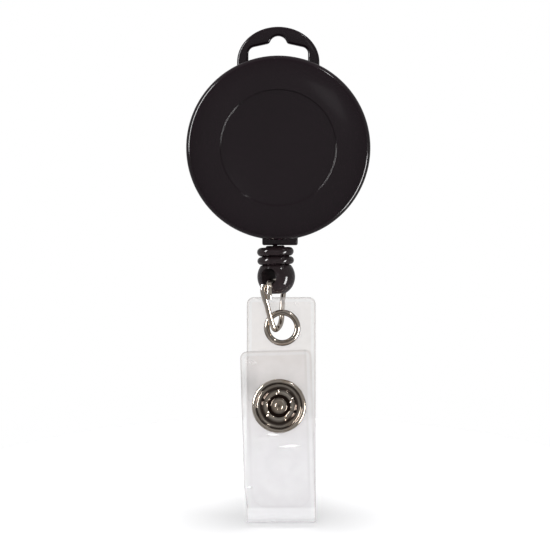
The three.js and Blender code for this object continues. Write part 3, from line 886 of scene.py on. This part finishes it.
def on_strap(along, across):
    """Where a point of the flat strip lies once it is folded."""
    if along < back_length:
        bow = BACK_BOW * math.sin(math.pi * smooth((along - BOW_START) / (18 * MM)))
        return Vector((back_x + across * back_width, back_y + bow, back_box[1].z - along))
    past = along - back_length
    if past < fold_length:
        angle = past / fold_radius
        side = Vector((0, math.cos(angle) * fold_radius, -math.sin(angle) * fold_radius))
        return Vector((back_x + across * back_width, fold.y, fold.z)) + side
    up = past - fold_length
    leaning = smooth(up / (5 * MM))
    width = back_width + (front_width - back_width) * leaning
    centre = back_x + (snap_spot.x - FLAP_SHIFT - back_x) * leaning
    point = Vector((centre + across * width, front_y, fold.z + up))
    arm = point - snap_spot
    turn = FLAP_TURN * leaning
    point.x = snap_spot.x + arm.x * math.cos(turn) - arm.z * math.sin(turn)
    point.z = snap_spot.z + arm.z * math.cos(turn) + arm.x * math.sin(turn)
    bow = smooth(up / (4 * MM)) * smooth((14 * MM - up) / (10 * MM))
    point.y -= FLAP_BOW * bow
    return point


print("fold bottom at", round((on_strap(back_length + fold_length / 2, 0).z - VINYL / 2) / MM, 2), "mm")


# %% Flat sheet
def strap_sheet():
    mesh = bmesh.new()
    corners = [mesh.verts.new((x, z, 0)) for x, z in ((-0.5, 0), (0.5, 0), (0.5, 1), (-0.5, 1))]
    mesh.faces.new(corners)
    bmesh.ops.scale(mesh, vec=(back_width, strap_length, 1), verts=mesh.verts)
    bmesh.ops.bevel(
        mesh, geom=list(mesh.verts), offset=STRAP_CORNER * MM, offset_type="OFFSET", affect="VERTICES",
        segments=8, profile=0.5, material=-1,
    )
    cuts = [step * MM for step in range(2, int(strap_length / MM))]
    cuts += [back_length + fold_length * step / 28 for step in range(-2, 31)]
    for cut in cuts:
        parts = list(mesh.verts) + list(mesh.edges) + list(mesh.faces)
        bmesh.ops.bisect_plane(mesh, geom=parts, plane_co=(0, cut, 0), plane_no=(0, 1, 0), dist=1e-6)
    for step in range(-5, 6):
        parts = list(mesh.verts) + list(mesh.edges) + list(mesh.faces)
        plane = (step * back_width / 12, 0, 0)
        bmesh.ops.bisect_plane(mesh, geom=parts, plane_co=plane, plane_no=(1, 0, 0), dist=1e-6)
    layer = mesh.loops.layers.uv.new("UVMap")
    for face in mesh.faces:
        for loop in face.loops:
            loop[layer].uv = (loop.vert.co.x, loop.vert.co.y)
    for vertex in mesh.verts:
        vertex.co = on_strap(vertex.co.y, vertex.co.x / back_width)
    bmesh.ops.recalc_face_normals(mesh, faces=mesh.faces)
    return mesh


sheet = loose(strap_sheet(), "strap_sheet")
print("sheet", len(sheet.data.polygons), "faces")

# %% Strap
thick = sheet.modifiers.new("thickness", "SOLIDIFY")
thick.thickness = VINYL
thick.offset = 0
through = Matrix.Translation((eyelet_spot.x, back_y, eyelet_spot.z))
joined(sheet, drill(2.6 * MM, through, 2 * MM), operation="DIFFERENCE")
for depth, radius in ((back_y, 1), (front_y, 1.2)):
    hole = Matrix.Translation((snap_spot.x, depth, snap_spot.z))
    joined(sheet, drill(radius * MM, hole, 2 * MM, 24), operation="DIFFERENCE")
strap = finished("vinyl_strap", as_bmesh(sheet), vinyl, None)
back_y - 0.25 * fold_radius
front_y + 0.25 * fold_radius
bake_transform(strap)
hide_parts("strap_back_leaf", "strap_fold", "strap_front_leaf")

# %% [markdown]
# ## Eyelet
# A brass eyelet, nickel plated, lines the hole in the strap. Its front is a full roll, its barrel
# passes through the vinyl, and behind, the barrel is flared over a flat washer.

# %% Eyelet
leaf_front = (back_y - VINYL / 2) / MM
leaf_back = (back_y + VINYL / 2) / MM
bore_radius = 2.15
eyelet_radius = 3.17
roll = (eyelet_radius - bore_radius) / 2
eyelet_section = [
    (bore_radius, leaf_back + 0.55, 0.1),
    (bore_radius + 0.7, leaf_back + 0.6, 0.08),
    (bore_radius + 0.7, leaf_back + 0.42, 0.05),
    (bore_radius + 0.25, leaf_back + 0.36, 0.1),
    (bore_radius + 0.25, leaf_front - 0.04, 0.02),
]
eyelet_section += [
    (bore_radius + roll + x, leaf_front - 0.12 + y, 0) for x, y in arc(0, 0, roll, 5, -180, 16)
]
eyelet_place = Matrix.Translation((eyelet_spot.x, 0, eyelet_spot.z))
finished(
    "eyelet_ring", turned(eyelet_section, 72, closed=True), eyelet_nickel, "strap", ["eyelet"],
    eyelet_place,
)
washer_section = [
    (bore_radius + 0.4, leaf_back + 0.3, 0.05),
    (eyelet_radius, leaf_back + 0.3, 0.08),
    (eyelet_radius, leaf_back + 0.04, 0.04),
    (bore_radius + 0.4, leaf_back + 0.04, 0.02),
]
finished(
    "eyelet_backing", turned(washer_section, 72, closed=True), nickel, "strap", ["eyelet_washer"],
    eyelet_place,
)

# %% [markdown]
# ## Snap
# The snap has four turned pieces and a small spring. The piece seen in front has a rolled rim, a
# valley, a curled inner ring and a deep well with a dimpled button in it. The curl of the inner
# ring has split in a few places as it was set, which gives the broken highlights.

# %% Front of the snap
flap_front = (front_y - VINYL / 2) / MM
flap_back = (front_y + VINYL / 2) / MM
snap_place = Matrix.Translation((snap_spot.x, 0, snap_spot.z))
cap_radius = 4.7
rim = 0.44
face_y = flap_front - 0.05
cap_section = [(0, -6.6, 0), (1, -6.6, 0.1), (1, face_y, 0), (cap_radius - 0.15, face_y, 0.05)]
cap_section += [(cap_radius - rim + x, face_y - 0.42 + y, 0) for x, y in arc(0, 0, rim, 20, -130, 12)]
cap_section += [
    (3.75, face_y - 0.42, 0.12),
    (3.1, face_y - 0.34, 0.2),
    (2.85, face_y - 0.62, 0.15),
    (2.3, face_y - 0.78, 0.16),
    (1.95, face_y - 0.6, 0.1),
    (1.85, face_y - 0.12, 0.06),
    (1.55, face_y - 0.12, 0.06),
    (1.45, face_y - 0.5, 0.18),
    (0.75, face_y - 0.62, 0.15),
    (0.55, face_y - 0.45, 0.12),
    (0, face_y - 0.4, 0),
]
cap_mesh = turned(cap_section, 144)
SPLITS = (25, 95, 160, 215, 300, 340)
SPLIT_DEPTH = 0.22 * MM
SPLIT_WIDTH = 0.16
CURL = (1.9, 3.1)
for direction in map(math.radians, SPLITS):
    for vertex in cap_mesh.verts:
        away = math.hypot(vertex.co.x, vertex.co.z) / MM
        if CURL[0] < away < CURL[1] and vertex.co.y < (face_y - 0.35) * MM:
            turn = math.atan2(vertex.co.z, vertex.co.x) - direction
            near = abs(math.atan2(math.sin(turn), math.cos(turn))) * away
            vertex.co.y += SPLIT_DEPTH * math.exp(-((near / SPLIT_WIDTH) ** 2))
finished("snap_front", cap_mesh, snap_nickel, "strap_flap", ["snap_cap"], snap_place)

# %% Hidden parts of the snap
socket_section = [
    (1.25, flap_back + 0.05, 0),
    (4.2, flap_back + 0.05, 0.1),
    (4.2, flap_back + 0.4, 0.15),
    (3.4, flap_back + 0.6, 0.15),
    (3.4, -4.7, 0.2),
    (2.3, -4.7, 0.15),
    (2.3, -5.15, 0.05),
    (2.85, -5.15, 0),
    (2.85, -5.75, 0),
    (2.3, -5.75, 0.05),
    (2.3, -6.2, 0),
    (1.25, -6.2, 0),
]
finished(
    "snap_socket_ring", turned(socket_section, 72, closed=True), snap_nickel, "strap_flap",
    ["snap_socket"], snap_place,
)
stud_section = [
    (0.95, leaf_front - 0.05, 0),
    (3.7, leaf_front - 0.05, 0.08),
    (3.7, leaf_front - 0.38, 0.12),
    (1.8, leaf_front - 0.45, 0.15),
    (1.75, leaf_front - 0.85, 0.1),
    (2, -5.4, 0.2),
    (1.75, -5.95, 0.25),
    (0, -5.95, 0),
    (0, -5.2, 0),
    (0.95, -5.2, 0),
]
finished(
    "snap_stud_ball", turned(stud_section, 72, closed=True), snap_nickel, "strap", ["snap_stud"],
    snap_place,
)
post_section = [
    (0, leaf_back + 0.5, 0),
    (2.2, leaf_back + 0.5, 0.4),
    (3.6, leaf_back + 0.22, 0.12),
    (3.6, leaf_back + 0.05, 0.05),
    (0.75, leaf_back + 0.05, 0),
    (0.75, -5, 0.1),
    (0, -5, 0),
]
finished(
    "snap_back_post", turned(post_section, 72), snap_nickel, "strap", ["snap_post"], snap_place,
)
ring_points = [(x, -5.45, z) for x, z in arc(0, 0, 2.5, 20, 340, 20)]
ring_mesh = wire("spring_ring", ring_points, 0.2 * MM, snap_place, 6, 4)
finished(
    "snap_spring", ring_mesh, steel, "strap_flap", ["snap_ring_spring"],
)

# %% [markdown]
# ## Belt clip
# The clip is a strip of spring steel folded over at its top. The plate lies on the case, the tongue
# presses towards it and flares at its tip so that a belt slides in. Each half of the strip is drawn
# as a line, extruded to its width, and thickened with a Solidify modifier; a bevel breaks the edges.

# %% Strip of steel
CLIP_STEEL = 0.6
flex = Vector(joints["clip_flex"]["pos_m"]) / MM
bend_radius = (flex.y + CLIP_STEEL / 2) / 2
bend_y = flex.y - bend_radius


def steel_strip(name, line, width, round_end):
    """A strip along (y, z) points, in millimetres, with the corners of its last end rounded."""
    mesh = bmesh.new()
    points = [mesh.verts.new((-width / 2 * MM, y * MM, z * MM)) for y, z in line]
    lines = [mesh.edges.new(pair) for pair in zip(points, points[1:])]
    grown = bmesh.ops.extrude_edge_only(mesh, edges=lines)["geom"]
    moved = [item for item in grown if isinstance(item, bmesh.types.BMVert)]
    bmesh.ops.translate(mesh, vec=(width * MM, 0, 0), verts=moved)
    end = Vector((0, line[-1][0], line[-1][1])) * MM
    corners = [v for v in mesh.verts if abs(v.co.y - end.y) < 1e-6 and abs(v.co.z - end.z) < 1e-6]
    bmesh.ops.bevel(
        mesh, geom=corners, offset=round_end * MM, offset_type="OFFSET", affect="VERTICES",
        segments=6, profile=0.5, material=-1,
    )
    bmesh.ops.recalc_face_normals(mesh, faces=mesh.faces)
    strip = loose(mesh, name)
    thickness = strip.modifiers.new("thickness", "SOLIDIFY")
    thickness.thickness = CLIP_STEEL * MM
    thickness.offset = 0
    edge = strip.modifiers.new("edge", "BEVEL")
    edge.width = 0.12 * MM
    edge.segments = 2
    edge.limit_method = "ANGLE"
    edge.angle_limit = math.radians(50)
    return strip


print("bend radius", round(bend_radius, 2), "mm")

# %% Belt clip
bend_line = [(flex.y, flex.z - 0.1)] + arc(bend_y, flex.z, bend_radius, 0, 180, 24)
plate_line = bend_line + [(-CLIP_STEEL / 2, z) for z in (9, 6, 3, 0, -3, -6, -8, -9.5)]
plate = joined(
    steel_strip("plate", plate_line, 11, 1.5),
    drill(1.35 * MM, Matrix.Identity(4), 4 * MM, 32), operation="DIFFERENCE",
)
finished("clip_back_plate", as_bmesh(plate), steel, "case", ["clip_plate"])
tongue_line = [(flex.y, flex.z + 0.1), (flex.y, 6), (flex.y, 2), (flex.y, -1)]
tongue_line += [(flex.y - 0.12, -3), (flex.y - 0.5, -5), (flex.y - 1.1, -6.5), (flex.y - 1.9, -7.8)]
tongue_line += [(2.2, -8.8), (1.45, -9.8), (1.05, -10.5), (1, -11.1), (1.25, -11.8), (1.7, -12.5), (2, -13)]
tongue = joined(steel_strip("tongue", tongue_line, 10, 2.2))
finished(
    "clip_spring_tongue", as_bmesh(tongue), steel, "clip_tongue", ["clip_tongue"],
)
rivet_section = [
    (0, 0.62, 0),
    (1.5, 0.58, 0.3),
    (2.3, 0.22, 0.15),
    (2.3, 0.05, 0.05),
    (1.2, 0.05, 0),
    (1.2, -4.8, 0),
    (1.75, -4.85, 0.1),
    (1.5, -5.3, 0.2),
    (0, -5.4, 0),
]
finished("clip_rivet_head", turned(rivet_section, 64), nickel, "case", ["clip_rivet"])

# %% [markdown]
# ## Cord
# The free run of the cord goes from the exit of the case into the fitting, where a knot holds it.
# It is a straight tube with its UV map unrolled round it.

# %% Cord
CORD = 0.4 * MM


def cord_tube(start, end, radius, rings, sides=16):
    """A straight tube with U round it and V along it, in metres."""
    axis = end - start
    mesh = bmesh.new()
    layer = mesh.loops.layers.uv.new("UVMap")
    bmesh.ops.create_circle(mesh, cap_ends=False, segments=sides, radius=radius)
    edges = list(mesh.edges)
    for _ in range(rings):
        grown = bmesh.ops.extrude_edge_only(mesh, edges=edges)["geom"]
        edges = [item for item in grown if isinstance(item, bmesh.types.BMEdge)]
        ring = [item for item in grown if isinstance(item, bmesh.types.BMVert)]
        edges = [edge for edge in edges if all(v in ring for v in edge.verts)]
        bmesh.ops.translate(mesh, vec=(0, 0, axis.length / rings), verts=ring)
    for face in mesh.faces:
        angles = [math.atan2(loop.vert.co.y, loop.vert.co.x) / (2 * math.pi) for loop in face.loops]
        wraps = max(angles) - min(angles) > 0.5
        for loop, angle in zip(face.loops, angles):
            loop[layer].uv = (angle + (1 if wraps and angle < 0 else 0), loop.vert.co.z)
    bmesh.ops.holes_fill(mesh, edges=mesh.edges)
    place = Matrix.Translation(start) @ towards(axis, (0, 0, 1))
    bmesh.ops.transform(mesh, matrix=place, verts=mesh.verts)
    return clean(mesh)


lead_start = exit_point + upward * (2.2 * MM)
lead_end = exit_point - upward * (2.65 * MM)
lead = finished("cord_run", cord_tube(lead_start, lead_end, CORD, 40), braided_cord, None)
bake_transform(lead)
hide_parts("cord_lead")

# %% [markdown]
# ## Pieces that keep their mechanical shape
# What is closed inside the case, and the knots inside the fitting, keep the shape of the mechanical
# model. They only get their finish.

# %% Finishes of the inner pieces
INNER_FINISHES = {
    "spool": inner_plastic,
    "spring_cover": inner_plastic,
    "power_spring": steel,
    "rivet_washer": steel,
    "cord_winding": braided_cord,
    "cord_anchor_knot": braided_cord,
    "cord_feed": braided_cord,
    "cord_end_knot": braided_cord,
}
for node, material in INNER_FINISHES.items():
    piece = frame["nodes"][node]
    piece.data.materials.clear()
    piece.data.materials.append(material)
print("inner pieces", len(INNER_FINISHES))

# %% [markdown]
# ## Studio
# The object hangs before pure white, with a soft shadow just under it. The world is white where the
# camera looks straight at it, and only a dim grey in reflections, so that black plastic stays black.
# Tall lights on both sides draw the bright lines on the rims and show in reflections only. A broad
# light in front and one overhead light the surfaces. The one overhead throws the soft shadow on a
# small white floor, which is tilted towards the camera so that the shadow shows as a band.

# %% World
world = bpy.data.worlds.new("studio")
bpy.context.scene.world = world
world.use_nodes = True
nodes, links = world.node_tree.nodes, world.node_tree.links
background = nodes["Background"]
direction = nodes.new("ShaderNodeTexCoord")
split_direction = nodes.new("ShaderNodeSeparateXYZ")
links.new(direction.outputs["Generated"], split_direction.inputs["Vector"])
centred = nodes.new("ShaderNodeMapRange")
centred.inputs["From Min"].default_value = -1
links.new(split_direction.outputs["Y"], centred.inputs["Value"])
gradient = nodes.new("ShaderNodeValToRGB")
gradient.color_ramp.interpolation = "B_SPLINE"
BRIGHTNESS = [(0, 0.24), (0.035, 0.24), (0.10, 0.10), (0.30, 0.26), (0.50, 0.24), (0.9, 0.28)]
while len(gradient.color_ramp.elements) < len(BRIGHTNESS):
    gradient.color_ramp.elements.new(1)
for stop, (place, shade) in zip(gradient.color_ramp.elements, BRIGHTNESS):
    stop.position = place
    stop.color = (shade, shade, shade, 1)
links.new(centred.outputs["Result"], gradient.inputs["Fac"])
white = nodes.new("ShaderNodeBackground")
for shade in (background, white):
    shade.inputs["Color"].default_value = (1, 1, 1, 1)
path = nodes.new("ShaderNodeLightPath")
either = nodes.new("ShaderNodeMixShader")
links.new(gradient.outputs["Color"], background.inputs["Strength"])
links.new(path.outputs["Is Camera Ray"], either.inputs["Fac"])
links.new(background.outputs["Background"], either.inputs[1])
links.new(white.outputs["Background"], either.inputs[2])
links.new(either.outputs["Shader"], nodes["World Output"].inputs["Surface"])
bpy.context.scene.view_settings.view_transform = "Standard"
print("world ready")

# %% Lights
aim = Vector((0, -6 * MM, -20 * MM))


def softbox(name, place, width, height, power):
    light = bpy.data.lights.new(name, "AREA")
    light.shape = "RECTANGLE"
    light.size = width
    light.size_y = height
    light.energy = power
    lamp = bpy.data.objects.new(name, light)
    lamp.location = place
    lamp.rotation_mode = "QUATERNION"
    lamp.rotation_quaternion = (aim - Vector(place)).to_track_quat("-Z", "Y")
    bpy.context.scene.collection.objects.link(lamp)
    return lamp


glints = [
    softbox("left_light", (-0.43, -0.20, 0.18), 0.10, 0.40, 1.8),
    softbox("right_light", (0.44, -0.20, -0.20), 0.10, 0.36, 1.8),
    softbox("corner_light", (0.275, -0.30, 0.42), 0.05, 0.05, 0.16),
    softbox("wedge_light", (0.15, -0.77, 0.16), 0.12, 0.12, 0.012),
]
for lamp in glints:
    lamp.visible_diffuse = False
fills = [
    softbox("front_light", (-0.05, -0.7, 0.12), 0.5, 0.5, 2.2),
    softbox("top_light", (0, -0.03, 0.5), 0.15, 0.16, 2.1),
]
for lamp in fills:
    lamp.visible_glossy = False

# %% Floor
FLOOR_RADIUS = 70 * MM
FLOOR_GAP = 0.6 * MM
FLOOR_TILT = math.radians(14)
floor_mesh = bmesh.new()
bmesh.ops.create_circle(floor_mesh, cap_ends=True, segments=96, radius=FLOOR_RADIUS)
slope = Matrix.Rotation(FLOOR_TILT, 4, "X")
under = Matrix.Translation((0, fold.y, cad_box[0][2] - FLOOR_GAP))
bmesh.ops.transform(floor_mesh, matrix=under @ slope, verts=floor_mesh.verts)
paper = Finish("white_paper")
paper.set("Base Color", (0.86, 0.86, 0.87, 1))
paper.set("Roughness", paper.noise(60, 2) * 0.05 + 0.9)
paper.set("Emission Color", (1, 1, 1, 1))
paper.set("Emission Strength", 0.28)
floor = finished("floor", floor_mesh, paper.material, None)
floor.visible_glossy = False
